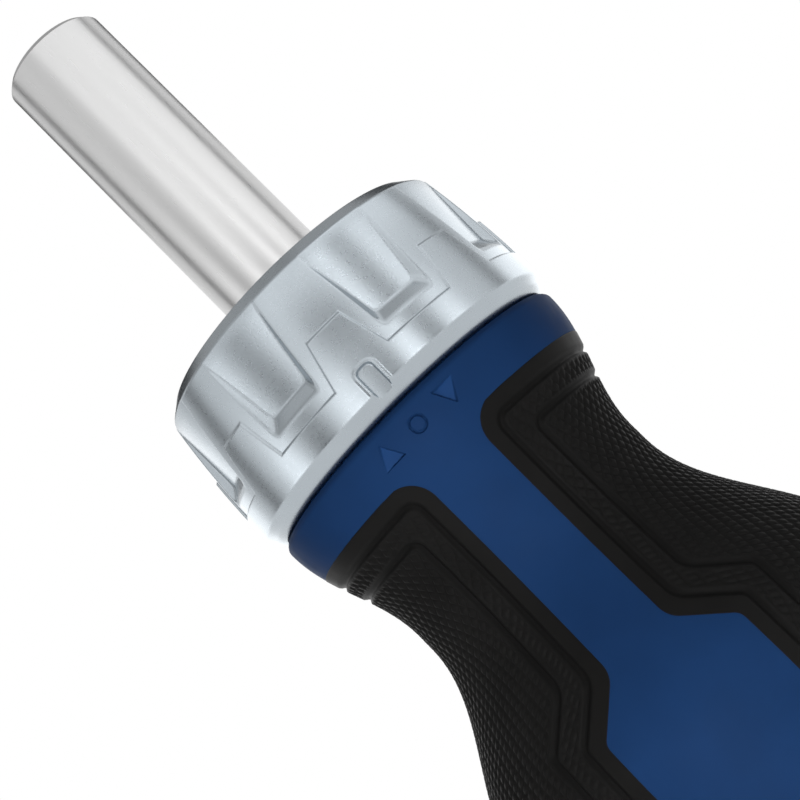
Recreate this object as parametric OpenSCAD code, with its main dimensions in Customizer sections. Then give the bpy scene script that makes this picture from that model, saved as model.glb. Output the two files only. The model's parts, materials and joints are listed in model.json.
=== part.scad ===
// Ratcheting screwdriver: a selector collar, an open hex bit socket and a pull-out bit magazine.
// The tool stands on its butt. +Z is the axis with the tip on top, and the pointer faces -Y.

/* [Shaft] */
// diameter of the bare shaft in front of the collar
shaft_d = 10.5; // [9.5:0.1:11.5]
// length of the shaft that shows in front of the collar
nose_len = 31.9; // [24:0.1:80]
// bevel round the mouth of the shaft
tip_bevel = 0.5; // [0.2:0.1:1]
// width across flats of the bits
bit_af = 6.35; // [5:0.05:6.5]
// play between a bit flat and the socket flat
socket_gap = 0.1; // [0.05:0.01:0.15]
// depth of the hex socket
socket_depth = 15; // [12:0.5:20]
// diameter of the magnet at the foot of the socket
magnet_d = 5; // [3:0.1:5.4]
// length of the magnet
magnet_len = 4; // [2:0.1:6]
// radial step from the shaft down to its ground journal
journal_step = 0.05; // [0.03:0.01:0.1]
// radial step from the journal down to the rear journal
shoulder = 1.2; // [0.8:0.1:1.6]
// distance of the bit clip below the tip
clip_drop = 4.5; // [3:0.1:7]
// thickness of the bit clip wire
clip_t = 0.7; // [0.5:0.05:0.9]

/* [Collar] */
// length of the collar along the axis
collar_len = 14.6; // [13.4:0.1:18]
// diameter of the collar behind its front bevel
collar_front_d = 30.5; // [29.4:0.1:31.6]
// diameter of the collar at its rear crest
collar_crest_d = 32.8; // [32:0.1:35]
// diameter of the collar where its wall turns in
collar_knee_d = 31.9; // [31:0.1:33]
// distance from the collar's rear to that turn
knee_rise = 8.4; // [8.2:0.1:10]
// axial length of the front bevel
front_bevel = 1.1; // [0.6:0.1:1.6]
// radial depth of the front bevel
front_drop = 1.25; // [0.6:0.05:1.4]
// axial length of the rear bevel
rear_bevel = 1.1; // [0.6:0.1:1.6]
// radial depth of the rear bevel
rear_drop = 0.9; // [0.5:0.05:1.1]
// thickness of the wall across the front of the collar
front_wall = 1.8; // [1.4:0.1:2.2]
// flutes round the collar
flute_count = 8; // [6:1:10]
// distance of a flute's outer end from the collar's rear
flute_back = 4.6; // [4:0.1:6]
// axial length of the sloped end of a flute
flute_slope = 1.3; // [0.8:0.1:2]
// width of a flute at the front
flute_front_w = 6.9; // [5.5:0.1:7.4]
// width of a flute at its end
flute_rear_w = 5.1; // [4:0.1:5.5]
// depth of a flute under the line of the front edge
flute_drop = 0.3; // [0.25:0.01:0.4]
// height of the crowned band over the rest of the wall
crown_step = 0.15; // [0.1:0.01:0.25]
// distance from the collar's rear to the foot of the crown's teeth
crown_foot = 3.4; // [2.8:0.1:3.8]
// distance from the collar's rear to the top of the crown's teeth
crown_top = 7.75; // [6.5:0.05:9]
// width of a crown tooth at its foot
crown_foot_w = 5.7; // [4.5:0.1:6]
// width of a crown tooth at its top
crown_top_w = 3.5; // [2.8:0.1:4]
// width of the pointer notch
notch_w = 1.6; // [1.2:0.1:2]
// length of the pointer notch from the collar's rear
notch_len = 3.4; // [2.8:0.1:4]
// depth of the pointer notch under the crest
notch_depth = 0.65; // [0.4:0.05:0.9]

/* [Handle] */
// length of the handle core
core_len = 87.6; // [84:0.1:110]
// diameter of the core just behind the collar
neck_d = 31.5; // [29:0.1:32.5]
// diameter of the core at its waist
waist_d = 25.5; // [25:0.1:28]
// diameter of the core at its swell
swell_d = 40.5; // [38:0.1:46]
// diameter of the core and cap at the rear
tail_d = 32.2; // [31.5:0.1:35]
// bevel on the front edge of the core
neck_bevel = 0.8; // [0.4:0.1:1.2]
// distance from the front of the core back to the waist
waist_back = 13.5; // [12:0.1:15]
// length of the straight waist
waist_len = 1.5; // [0.5:0.1:3]
// distance from the front of the core back to the swell
swell_back = 34; // [31:0.1:38]

/* [Grips] */
// thickness of the grip panels
grip_t = 1.5; // [1.2:0.1:1.8]
// height of the grip panels over the core
grip_proud = 0.2; // [0.1:0.05:0.4]
// distance from the front of the core back to the grips
grip_back = 4.4; // [3.5:0.1:5.5]
// distance from the rear of the core up to the grips
grip_rise = 6; // [5:0.1:8]
// radius of the grip corners
grip_corner = 2.7; // [2:0.1:3.2]
// width of the bare spine between the grips
spine_w = 5.8; // [5:0.1:7]
// width of the bare panel between the grips
panel_w = 13.7; // [11:0.1:15]
// distance from the front of the core back to the wide panel
panel_back = 29.2; // [27.5:0.1:31]
// width of the border round a grip
border_w = 1.2; // [0.9:0.05:1.5]
// width of the grooves in a grip
groove_w = 0.85; // [0.6:0.05:1]
// width of the band between the grooves
band_w = 1.3; // [1:0.05:1.6]
// depth of the grooves
groove_depth = 0.35; // [0.2:0.05:0.5]

/* [Ratchet] */
// teeth on the ratchet gear
gear_teeth = 24; // [24:12:36]
// radial wall of the gear under its teeth
gear_wall = 1.3; // [1:0.05:1.5]
// height of the gear teeth
tooth_h = 1.2; // [0.9:0.05:1.3]
// bite of both pawls with the selector in the middle
rest_bite = 0.4; // [0.3:0.05:0.5]
// clearance of a lifted pawl over the teeth
lift_gap = 0.15; // [0.1:0.01:0.25]
// distance of the pawl pivots outside the gear
pivot_off = 2; // [1.9:0.05:2.3]
// diameter of the pawl pins
pin_d = 1.6; // [1.4:0.05:1.7]
// wall round the bore of a pawl
boss_wall = 0.65; // [0.5:0.05:0.7]
// width of the flat on a pawl nose
nose_w = 0.3; // [0.2:0.02:0.36]
// height of a pawl nose
nose_h = 1.1; // [1:0.05:1.3]
// thickness of a pawl arm behind its nose
arm_t = 1.1; // [0.9:0.05:1.2]
// length of a pawl beyond its nose
arm_end = 0.9; // [0.8:0.05:1.1]
// length of the cam follower on a pawl
follower_w = 1.3; // [1:0.05:1.5]
// thickness of the housing floor
floor_t = 2.2; // [1.9:0.1:2.5]
// wall of the housing outside the pawls
case_wall = 1.2; // [1:0.05:1.4]
// thickness of the thrust washer
thrust_t = 0.5; // [0.3:0.05:0.7]
// thickness of the cam plate
cam_t = 2.1; // [1.8:0.1:2.4]
// thickness of the housing cover
cover_t = 2.6; // [2.3:0.1:2.8]
// wall of the bushes
bush_t = 1.45; // [1.2:0.05:1.5]
// width across flats of the housing spigot
spigot_af = 16; // [15.5:0.1:16.5]
// length of the housing spigot
spigot_len = 12; // [10:0.1:12]
// width of the drive tabs on the cam plate
tab_w = 4; // [3:0.1:4.4]
// depth of the keyways in the collar
key_depth = 1.1; // [0.9:0.05:1.2]
// turn of the selector from the middle to either side, in degrees
click_a = 15; // [12:1:15]
// distance of the cover screws inside the housing's rim
screw_in = 1.6; // [1.6:0.05:1.7]
// diameter of the cover and housing screws
screw_d = 2; // [1.6:0.1:2]
// wire of the pawl springs
wire_d = 0.35; // [0.3:0.01:0.36]
// outer diameter of the pawl springs
coil_d = 1.9; // [1.7:0.05:2]
// thickness of the detent leaf
leaf_t = 0.4; // [0.3:0.05:0.5]
// depth of the detent notches in the collar
detent_depth = 0.6; // [0.5:0.05:0.7]
// thickness of the wear washer behind the collar
washer_t = 0.3; // [0.2:0.05:0.5]
// radial width of the wear washer
washer_w = 1.1; // [0.9:0.1:1.2]
// thickness of the retaining rings
ring_t = 0.8; // [0.6:0.05:0.9]
// radial width of the collar's retaining ring
ring_w = 1.2; // [1:0.05:1.3]
// thickness of the wall between the ratchet and the magazine
bulkhead_t = 3; // [2.5:0.1:4]

/* [Magazine] */
// length of the end cap
cap_len = 12; // [11:0.1:16]
// axial length of the round at the foot of the cap
foot_round = 6; // [5:0.1:7]
// diameter of the flat foot
foot_d = 22; // [20:0.1:26]
// height of the finger groove in the cap
pull_w = 3; // [2:0.1:3.4]
// depth of the finger groove in the cap
pull_depth = 0.9; // [0.6:0.05:1.2]
// length of the spigot that plugs the cap into the core
plug_len = 5; // [4.5:0.1:6]
// wall of the core round the plug
mouth_wall = 2.6; // [2.3:0.1:2.9]
// section of the seal on the plug
seal_d = 1.4; // [1:0.1:1.6]
// bits in the magazine
bit_count = 6; // [6:1:6]
// length of a bit
bit_len = 25; // [20:0.5:26]
// length of the hex stretch of a bit
bit_hex_len = 14; // [10:0.5:15]
// wall between neighbouring bits
bit_wall = 0.7; // [0.5:0.05:0.9]
// thickness of the carrier's end plates
plate_t = 2; // [1.5:0.1:3]
// length of the carrier's guide
guide_len = 6; // [5:0.1:8]
// travel of the magazine
travel = 30; // [28:0.5:32]
// width of the guide keys
guide_key_w = 3; // [2:0.1:4]
// height of the guide keys
guide_key_h = 0.6; // [0.4:0.05:0.7]

/* [Fits] */
// running fit on a bore, per side
run_gap = 0.06; // [0.03:0.01:0.08]
// gap between seated faces
seat_gap = 0.05; // [0.03:0.01:0.08]
// clearance round moving pieces
free_gap = 0.3; // [0.2:0.01:0.35]
// how far a cut runs past the face it opens
over = 1; // [0.5:0.1:2]

/* [Hidden] */
$fn = 96;

// heights, from the butt up
core_z0 = cap_len;
core_z1 = core_z0 + core_len;
collar_z0 = core_z1 + washer_t + 2 * seat_gap;
collar_z1 = collar_z0 + collar_len;
shaft_z1 = collar_z1 + nose_len;
floor_z = collar_z0 + floor_t;
gear_z0 = floor_z + thrust_t + 2 * seat_gap;
collar_in_z = collar_z1 - front_wall;
crown_z0 = collar_z0 + crown_foot;
crest_z = collar_z0 + rear_bevel;
knee_z = collar_z0 + knee_rise;
cover_z1 = collar_in_z - free_gap;
cover_z0 = cover_z1 - cover_t;
cam_z1 = cover_z0 - free_gap;
cam_z0 = cam_z1 - cam_t;
gear_z1 = cam_z0 - free_gap;
spigot_z = core_z1 - spigot_len;
circlip_z0 = spigot_z - ring_t - seat_gap;
shaft_z0 = circlip_z0 - ring_t;
socket_z = shaft_z1 - socket_depth;
pocket_z = shaft_z0 - free_gap;
bulkhead_z = pocket_z - bulkhead_t;

// radii, from the axis out
shaft_r = shaft_d / 2;
journal_r = shaft_r - journal_step;
rear_r = journal_r - shoulder;
rear_bush_r = rear_r + run_gap + bush_t;
front_bush_r = journal_r + run_gap + bush_t;
gear_root_r = journal_r + gear_wall;
gear_tip_r = gear_root_r + tooth_h;
nose_r = gear_tip_r - rest_bite;
pivot_r = gear_tip_r + pivot_off;
pin_r = pin_d / 2;
boss_r = pin_r + run_gap + boss_wall;
pocket_r = pivot_r + boss_r + free_gap / 2;
housing_r = pocket_r + case_wall;
collar_in_r = housing_r + run_gap;
key_r = collar_in_r + key_depth;
front_r = collar_front_d / 2;
crest_r = collar_crest_d / 2;
knee_r = collar_knee_d / 2;
flute_r = front_r - flute_drop;
screw_r = screw_d / 2;
screw_c = housing_r - screw_in;
housing_screw_c = (rear_bush_r + spigot_af / 2 / cos(30)) / 2;
ring_in_r = housing_r - ring_w / 2;

// pawls: the arm lies along the tangent at the nose, so that the nose moves in and out
nose_a = 360 / gear_teeth;
reach_a = acos(nose_r / pivot_r);
pivot_a = nose_a - reach_a;
arm_len = pivot_r * sin(reach_a);
pawl_swing = atan((rest_bite + lift_gap) / arm_len);
tip_land_share = 0.27;
root_gap_share = 0.23;
gap_tip_w = 2 * gear_tip_r * sin(nose_a * (1 - tip_land_share) / 2);
gap_root_w = 2 * gear_root_r * sin(nose_a * root_gap_share / 2);
nose_slope = (gap_tip_w - gap_root_w) / 2 / tooth_h;
nose_base_w = nose_w + 2 * nose_h * nose_slope;
arm_back = nose_h + arm_t;
pocket_lead_a = 1.3 * asin(boss_r / pivot_r);
pocket_tail_a = 13;

// cam: a spiral rim that keeps its distance from the pawl followers
cam_mid_r = nose_r + nose_h - free_gap;
cam_rise = arm_len * pawl_swing / click_a * PI / 180;
cam_span = click_a + 9;
cam_room_r = cam_mid_r + cam_rise * cam_span + free_gap;
window_a = click_a + asin(tab_w / 2 / cam_room_r) + 2;

// springs of the pawls
spring_x_share = 0.68;
spring_x = arm_len * spring_x_share;
spring_y0 = arm_back + seat_gap;
hole_r = housing_r - case_wall * 0.4;
spring_y1 = sqrt(hole_r * hole_r - pow(arm_len - spring_x, 2)) - nose_r - seat_gap;
spring_z = (gear_z0 + gear_z1) / 2;
coil_turns = 3;

// handle outline
neck_r = neck_d / 2;
waist_r = waist_d / 2;
swell_r = swell_d / 2;
tail_r = tail_d / 2;
neck_z = core_z1 - neck_bevel;
waist_z1 = core_z1 - waist_back;
waist_z0 = waist_z1 - waist_len;
swell_z = core_z1 - swell_back;
grip_z1 = core_z1 - grip_back;
grip_z0 = core_z0 + grip_rise;
panel_z1 = core_z1 - panel_back;
spine_z0 = panel_z1 + (panel_w - spine_w) / 2;
outline_steps = 40;
corner_steps = 5;

// magazine
bit_gap = socket_gap;
bit_c = (bit_af + 2 * bit_gap + bit_wall) / 2 / sin(180 / bit_count);
bit_corner_r = bit_af / 2 / cos(30);
carrier_r = bit_c + bit_af / 2 - bit_wall / 2;
stop_r = bit_c + bit_corner_r + free_gap;
bore_r = stop_r + ring_t;
guide_r = bore_r - free_gap / 2;
guide_key_r = guide_r + guide_key_h;
plug_z1 = core_z0 + plug_len;
mouth_r = tail_r - mouth_wall;
plug_r = mouth_r - free_gap / 2;
plug_boss_r = bit_c - bit_af / 2;
bit_z0 = plug_z1 + plate_t;
bit_z1 = bit_z0 + bit_len;
stop_z0 = plug_z1 + plate_t;
guide_z0 = stop_z0 + 2 * ring_t + travel;
guide_z1 = guide_z0 + guide_len;
bore_z1 = guide_z1 + ring_t;
seal_z = core_z0 + plug_len / 2;
seal_r = mouth_r - seal_d / 2;

// radius of the core's outer face at a height: cosine eases between neck, waist, swell and tail
function ease(a, b, t) = a + (b - a) * (1 - cos(180 * min(1, max(0, t)))) / 2;
function core_r(z) =
    z >= waist_z0 ? ease(waist_r, neck_r, (z - waist_z1) / (neck_z - waist_z1))
    : z >= swell_z ? ease(swell_r, waist_r, (z - swell_z) / (waist_z0 - swell_z))
    : ease(tail_r, swell_r, (z - core_z0) / (swell_z - core_z0));
function lerp(a, b, t) = a + (b - a) * t;
function core_line(z0, z1, grow) =
    [for (i = [0:outline_steps]) let (z = lerp(z0, z1, i / outline_steps)) [core_r(z) + grow, z]];
function polar(r, a) = [r * cos(a), r * sin(a)];
function arc(c, r, a0, a1) =
    [for (i = [0:corner_steps]) c + polar(r, lerp(a0, a1, i / corner_steps))];

// outline of the right grip from the front, drawn in by a width
function grip_outline(inset) =
    let (
        far = swell_r + grip_proud + over,
        x0 = spine_w / 2 + inset,
        x1 = panel_w / 2 + inset,
        r = max(grip_corner - inset, groove_depth),
        z0 = grip_z0 + inset,
        z1 = grip_z1 - inset,
        bend = inset * tan(22.5)
    )
    concat(
        [[far, z0]],
        arc([x1 + r, z0 + r], r, 270, 180),
        [[x1, panel_z1 + bend], [x0, spine_z0 + bend]],
        arc([x0 + r, z1 - r], r, 180, 90),
        [[far, z1]]
    );

module ring(r_in, r_out, z0, z1) {
    translate([0, 0, z0])
        difference() {
            cylinder(r = r_out, h = z1 - z0);
            translate([0, 0, -over])
                cylinder(r = r_in, h = z1 - z0 + 2 * over);
        }
}

// a ring with a gap of some degrees at the back
module split_ring(r_in, r_out, z0, z1, gap_a) {
    difference() {
        ring(r_in, r_out, z0, z1);
        translate([0, 0, z0 - over])
            linear_extrude(z1 - z0 + 2 * over)
                sector(2 * r_out, 90 - gap_a / 2, 90 + gap_a / 2);
    }
}

module rod(r, z0, z1) {
    translate([0, 0, z0])
        cylinder(r = r, h = z1 - z0);
}

module hex_rod(af, z0, z1) {
    translate([0, 0, z0])
        cylinder(r = af / 2 / cos(30), h = z1 - z0, $fn = 6);
}

// a pie slice under 180 degrees wide
module sector(r, a0, a1) {
    mid = (a0 + a1) / 2;
    polygon([[0, 0], polar(r, a0), polar(r, mid), polar(r, a1)]);
}

// an outline in width and height, driven out along the radius at an angle
module radial(a, r0, r1) {
    rotate([0, 0, a])
        rotate([90, 0, 90])
            translate([0, 0, r0])
                linear_extrude(r1 - r0)
                    children();
}

module grip_prism(inset) {
    rotate([90, 0, 0])
        linear_extrude(2 * (swell_r + grip_proud + over), center = true)
            polygon(grip_outline(inset));
}

// all that lies outside the core's face, moved out by a height
module outside(grow) {
    far = swell_r + grip_proud + 2 * over;
    z0 = core_z0;
    z1 = neck_z;
    rotate_extrude()
        polygon(concat(core_line(z0, z1, grow), [[far, z1], [far, z0]]));
}

module grip_groove(inset) {
    intersection() {
        outside(grip_proud - groove_depth);
        difference() {
            grip_prism(inset);
            grip_prism(inset + groove_w);
        }
    }
}

module right_grip_shape() {
    z0 = core_z0;
    z1 = neck_z;
    inner = core_line(z0, z1, seat_gap - grip_t);
    outer = core_line(z1, z0, grip_proud);
    difference() {
        intersection() {
            rotate_extrude()
                polygon(concat(inner, outer));
            grip_prism(seat_gap);
        }
        grip_groove(border_w);
        grip_groove(border_w + groove_w + band_w);
    }
}

module right_grip() {
    color([0.1, 0.1, 0.1])
        right_grip_shape();
}

module left_grip() {
    color([0.1, 0.1, 0.1])
        mirror([1, 0, 0])
            right_grip_shape();
}

// one-piece core: hex pocket in front, bulkhead, magazine bore behind, seats for both grips
module handle_core() {
    color([0.11, 0.22, 0.38])
        difference() {
            rotate_extrude()
                polygon(concat(
                    [[0, core_z0]],
                    core_line(core_z0, neck_z, 0),
                    [[neck_r - neck_bevel, core_z1], [0, core_z1]]
                ));
            intersection() {
                outside(-grip_t);
                union() {
                    grip_prism(0);
                    mirror([1, 0, 0])
                        grip_prism(0);
                }
            }
            hex_rod(spigot_af + 2 * seat_gap, pocket_z, core_z1 + over);
            rod(bore_r, core_z0 - over, bore_z1);
            rod(housing_screw_c + screw_d + free_gap, bore_z1 - over, bulkhead_z);
            rod(mouth_r, core_z0 - over, plug_z1 + seat_gap);
            ring(stop_r, bore_r + ring_t, stop_z0 - seat_gap, stop_z0 + ring_t + seat_gap);
            guide_keys(guide_key_r + free_gap / 2, guide_key_w + free_gap, stop_z0, bore_z1);
            housing_screw_set(screw_r + run_gap, spigot_z, bulkhead_z - over);
        }
}

module guide_keys(r, w, z0, z1) {
    translate([-r, -w / 2, z0])
        cube([2 * r, w, z1 - z0]);
}

module at_housing_screws() {
    for (a = [60, 180, 300])
        rotate([0, 0, a])
            translate([housing_screw_c, 0, 0])
                children();
}

module housing_screw_set(r, z1, z0) {
    at_housing_screws()
        rod(r, z0, z1);
}

module housing_screws() {
    color([0.5, 0.5, 0.52]) {
        at_housing_screws() {
            rod(screw_r, bulkhead_z - seat_gap, spigot_z + spigot_len / 2);
            difference() {
                rod(2 * screw_r, bulkhead_z - seat_gap - screw_d, bulkhead_z - seat_gap);
                hex_rod(screw_d, bulkhead_z - seat_gap - screw_d - over, bulkhead_z - seat_gap - screw_r);
            }
        }
    }
}

module at_cover_screws() {
    for (a = [50, 130, 230, 310])
        rotate([0, 0, a])
            translate([screw_c, 0, 0])
                children();
}

// places a pawl: x runs along the arm to the nose, y runs in towards the gear
module on_pawl(side) {
    mirror([side < 0 ? 1 : 0, 0, 0])
        translate(polar(pivot_r, pivot_a))
            rotate([0, 0, nose_a + 90])
                children();
}

module pawl_pocket() {
    intersection() {
        circle(r = pocket_r);
        sector(2 * pocket_r, pivot_a - pocket_lead_a, nose_a + pocket_tail_a);
    }
}

// die-cast case: floor, wall with pawl pockets and tab windows, hex spigot for the core
module ratchet_housing() {
    color([0.45, 0.46, 0.48])
        difference() {
            union() {
                rod(housing_r, core_z1, cover_z0);
                hex_rod(spigot_af, spigot_z, core_z1 + over);
            }
            rod(rear_bush_r, spigot_z - over, floor_z + over);
            rod(gear_tip_r + free_gap, floor_z, cover_z0 + over);
            rod(cam_room_r, gear_z1 + free_gap / 2, cover_z0 + over);
            translate([0, 0, floor_z])
                linear_extrude(cover_z0 - floor_z + over)
                    union() {
                        pawl_pocket();
                        mirror([1, 0, 0])
                            pawl_pocket();
                    }
            translate([0, 0, gear_z1 + free_gap / 2])
                linear_extrude(cover_z0 - gear_z1)
                    for (a = [90, 270])
                        sector(2 * housing_r, a - window_a, a + window_a);
            ring(ring_in_r - seat_gap, housing_r + over, ring_z0() - seat_gap, ring_z0() + ring_t + seat_gap);
            for (side = [-1, 1])
                on_pawl(side) {
                    rod(pin_r, core_z1 + floor_t / 2, floor_z + over);
                    translate([spring_x, -spring_y0, spring_z])
                        rotate([90, 0, 0])
                            cylinder(d = coil_d + free_gap, h = spring_y1 - spring_y0 + seat_gap);
                }
            housing_screw_set(screw_r, spigot_z + spigot_len / 2 + free_gap, spigot_z - over);
            at_cover_screws()
                rod(screw_r, floor_z, cover_z0 + over);
        }
}

function ring_z0() = collar_z0 + ring_t;

module collar_ring() {
    color([0.35, 0.35, 0.37])
        split_ring(ring_in_r, ring_in_r + ring_w, ring_z0(), ring_z0() + ring_t, 30);
}

module wear_washer() {
    color([0.06, 0.06, 0.07])
        ring(key_r, key_r + washer_w, core_z1 + seat_gap, core_z1 + seat_gap + washer_t);
}

module pawl_pins() {
    color([0.6, 0.6, 0.62])
        for (side = [-1, 1])
            on_pawl(side)
                rod(pin_r, core_z1 + floor_t / 2, gear_z1);
}

module front_bush() {
    color([0.66, 0.5, 0.26])
        ring(journal_r + run_gap, front_bush_r, cover_z0, collar_z1 - front_wall / 4);
}

module rear_bush() {
    color([0.66, 0.5, 0.26])
        ring(rear_r + run_gap, rear_bush_r, spigot_z, floor_z);
}

// cover over the ratchet, with a seat for the detent leaf at the back of its rim
module housing_cover() {
    sink_h = screw_r / 2 + seat_gap;
    color([0.45, 0.46, 0.48])
        difference() {
            rod(housing_r, cover_z0, cover_z1);
            rod(front_bush_r, cover_z0 - over, cover_z1 + over);
            at_cover_screws() {
                rod(screw_r + run_gap, cover_z0 - over, cover_z1 + over);
                translate([0, 0, cover_z1 - sink_h])
                    cylinder(r1 = screw_r, r2 = screw_r + sink_h + over, h = sink_h + over);
            }
            translate([0, 0, leaf_z0() - seat_gap])
                linear_extrude(cover_t)
                    difference() {
                        sector(2 * housing_r, 62, 118);
                        circle(r = leaf_r() - seat_gap);
                    }
        }
}

module cover_screws() {
    color([0.5, 0.5, 0.52])
        at_cover_screws() {
            rod(screw_r, cover_z0 - cam_t, cover_z1 - screw_r / 2);
            translate([0, 0, cover_z1 - screw_r / 2])
                difference() {
                    cylinder(r1 = screw_r, r2 = 3 * screw_r / 2 - seat_gap, h = screw_r / 2 - seat_gap);
                    hex_rod(screw_r, screw_r / 8, screw_d);
                }
        }
}

function leaf_z0() = cover_z0 + cover_t / 2;
function leaf_r() = housing_r - case_wall;
function leaf_line(grow) =
    [for (i = [-26:26]) let (bump = abs(i) < 7 ? pow(cos(90 * i / 7), 2) : 0)
        polar(leaf_r() + grow + bump * (housing_r - leaf_r() - leaf_t + detent_depth / 2), 90 + i)];

module detent_leaf() {
    outer = leaf_line(leaf_t);
    inner = leaf_line(0);
    color([0.55, 0.56, 0.6])
        translate([0, 0, leaf_z0()])
            linear_extrude(cover_t / 2 - seat_gap)
                polygon(concat(outer, [for (i = [len(inner) - 1:-1:0]) inner[i]]));
}

// a round wire wound along +Z from zero to its length
module coil(r, wire, turns, len) {
    per_turn = 10;
    sides = 6;
    n = per_turn * turns;
    function spot(i, j) =
        let (a = 360 * i / per_turn, b = 360 * j / sides, q = r + wire / 2 * cos(b))
        [q * cos(a), q * sin(a), wire / 2 + (len - wire) * i / n + wire / 2 * sin(b)];
    points = [for (i = [0:n]) for (j = [0:sides - 1]) spot(i, j)];
    skin = [for (i = [0:n - 1]) for (j = [0:sides - 1])
        let (k = (j + 1) % sides)
        [i * sides + j, i * sides + k, (i + 1) * sides + k, (i + 1) * sides + j]];
    ends = [[for (j = [sides - 1:-1:0]) j], [for (j = [0:sides - 1]) n * sides + j]];
    polyhedron(points, concat(skin, ends), convexity = 10);
}

module pawl_spring(side) {
    on_pawl(side)
        translate([spring_x, -spring_y0 - seat_gap, spring_z])
            rotate([90, 0, 0])
                coil((coil_d - wire_d) / 2, wire_d, coil_turns, spring_y1 - spring_y0 - 2 * seat_gap);
}

module forward_spring() {
    color([0.55, 0.56, 0.6])
        pawl_spring(1);
}

module reverse_spring() {
    color([0.55, 0.56, 0.6])
        pawl_spring(-1);
}

module stop_ring() {
    color([0.35, 0.35, 0.37])
        split_ring(stop_r, bore_r + ring_t - seat_gap, stop_z0, stop_z0 + ring_t, 24);
}

// shaft with a hex socket in front and a stepped rear journal
module shaft() {
    groove_r = rear_r - ring_t;
    color([0.72, 0.72, 0.73])
        difference() {
            rotate_extrude()
                polygon([
                    [0, shaft_z0],
                    [rear_r, shaft_z0],
                    [rear_r, gear_z0],
                    [journal_r, gear_z0],
                    [journal_r, collar_z1],
                    [shaft_r, collar_z1 + tip_bevel],
                    [shaft_r, shaft_z1 - tip_bevel],
                    [shaft_r - tip_bevel, shaft_z1],
                    [0, shaft_z1]
                ]);
            hex_rod(bit_af + 2 * socket_gap, socket_z, shaft_z1 + over);
            rod(magnet_d / 2 + seat_gap, socket_z - magnet_len, socket_z + over);
            ring(magnet_d / 2, clip_r() + seat_gap, clip_z() - seat_gap, clip_z() + clip_t + seat_gap);
            ring(groove_r, rear_r + over, circlip_z0 - seat_gap, circlip_z0 + ring_t - seat_gap);
        }
}

function clip_z() = shaft_z1 - clip_drop - clip_t;
function clip_r() = bit_corner_r + clip_t / 2;

module bit_clip() {
    color([0.6, 0.6, 0.62])
        split_ring(bit_af / 2, clip_r(), clip_z(), clip_z() + clip_t, 40);
}

module bit_magnet() {
    color([0.4, 0.4, 0.42])
        rod(magnet_d / 2, socket_z - magnet_len, socket_z);
}

module shaft_circlip() {
    color([0.35, 0.35, 0.37])
        split_ring(rear_r - ring_t + seat_gap, rear_bush_r, circlip_z0, circlip_z0 + ring_t - 2 * seat_gap, 70);
}

module thrust_washer() {
    color([0.75, 0.72, 0.66])
        ring(rear_r + seat_gap, gear_root_r, floor_z + seat_gap, floor_z + seat_gap + thrust_t);
}

// symmetric teeth, with a gap at each whole pitch
module ratchet_gear() {
    tip = nose_a * tip_land_share / 2;
    root = nose_a * (1 - root_gap_share) / 2;
    teeth = [for (i = [0:gear_teeth - 1]) let (a = nose_a * (i + 1 / 2)) each [
        polar(gear_root_r, a - root),
        polar(gear_tip_r, a - tip),
        polar(gear_tip_r, a + tip),
        polar(gear_root_r, a + root)
    ]];
    color([0.55, 0.55, 0.57])
        translate([0, 0, gear_z0])
            difference() {
                linear_extrude(gear_z1 - gear_z0)
                    polygon(teeth);
                translate([0, 0, -over])
                    cylinder(r = journal_r, h = gear_z1 - gear_z0 + 2 * over);
            }
}

module pawl_shape() {
    base = nose_base_w / 2;
    difference() {
        union() {
            translate([0, 0, gear_z0])
                linear_extrude(gear_z1 - gear_z0)
                    union() {
                        circle(r = boss_r);
                        polygon([
                            [0, -boss_r],
                            [boss_r * cos(50), boss_r * sin(50)],
                            [arm_len - 2 * base, -nose_h],
                            [arm_len - base, -nose_h],
                            [arm_len - nose_w / 2, 0],
                            [arm_len + nose_w / 2, 0],
                            [arm_len + base, -nose_h],
                            [arm_len + arm_end, -nose_h],
                            [arm_len + arm_end, -arm_back]
                        ]);
                    }
            translate([arm_len - follower_w / 2, -arm_back, gear_z0])
                cube([follower_w, arm_t, cam_z1 - gear_z0]);
        }
        rod(pin_r + run_gap, gear_z0 - over, gear_z1 + over);
    }
}

module forward_pawl() {
    color([0.62, 0.6, 0.55])
        on_pawl(1)
            pawl_shape();
}

module reverse_pawl() {
    color([0.62, 0.6, 0.55])
        on_pawl(-1)
            pawl_shape();
}

// spiral rim over each pawl, with a drive tab in front and at the back
function cam_side(a) = cos(a) >= 0 ? asin(sin(a)) : asin(sin(180 - a));
function cam_r(a) = cam_mid_r - cam_rise * max(-cam_span, min(cam_span, cam_side(a) - nose_a));

module selector_cam() {
    rim = [for (a = [0:3:357]) polar(cam_r(a), a)];
    tab_r = key_r - free_gap / 2;
    color([0.7, 0.69, 0.64])
        translate([0, 0, cam_z0])
            linear_extrude(cam_t)
                difference() {
                    union() {
                        polygon(rim);
                        translate([-tab_w / 2, -tab_r])
                            square([tab_w, 2 * tab_r]);
                    }
                    circle(r = journal_r + free_gap);
                }
}

// collar wall with its bevels
module collar_body() {
    rotate_extrude()
        polygon([
            [0, collar_z0],
            [crest_r - rear_drop, collar_z0],
            [crest_r, crest_z],
            [knee_r, knee_z],
            [front_r, collar_z1 - front_bevel],
            [front_r - front_drop, collar_z1],
            [0, collar_z1]
        ]);
}

// the thin layer that is taken off the wall in front of the crowned band
module collar_layer() {
    foot_r = lerp(crest_r, knee_r, (crown_z0 - crest_z) / (knee_z - crest_z));
    taper = (knee_r - front_r) / (collar_z1 - front_bevel - knee_z);
    rotate_extrude()
        polygon([
            [foot_r - crown_step, crown_z0],
            [crest_r + over, crown_z0],
            [crest_r + over, collar_z1 + over],
            [knee_r - crown_step - taper * (collar_z1 + over - knee_z), collar_z1 + over],
            [knee_r - crown_step, knee_z]
        ]);
}

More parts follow.
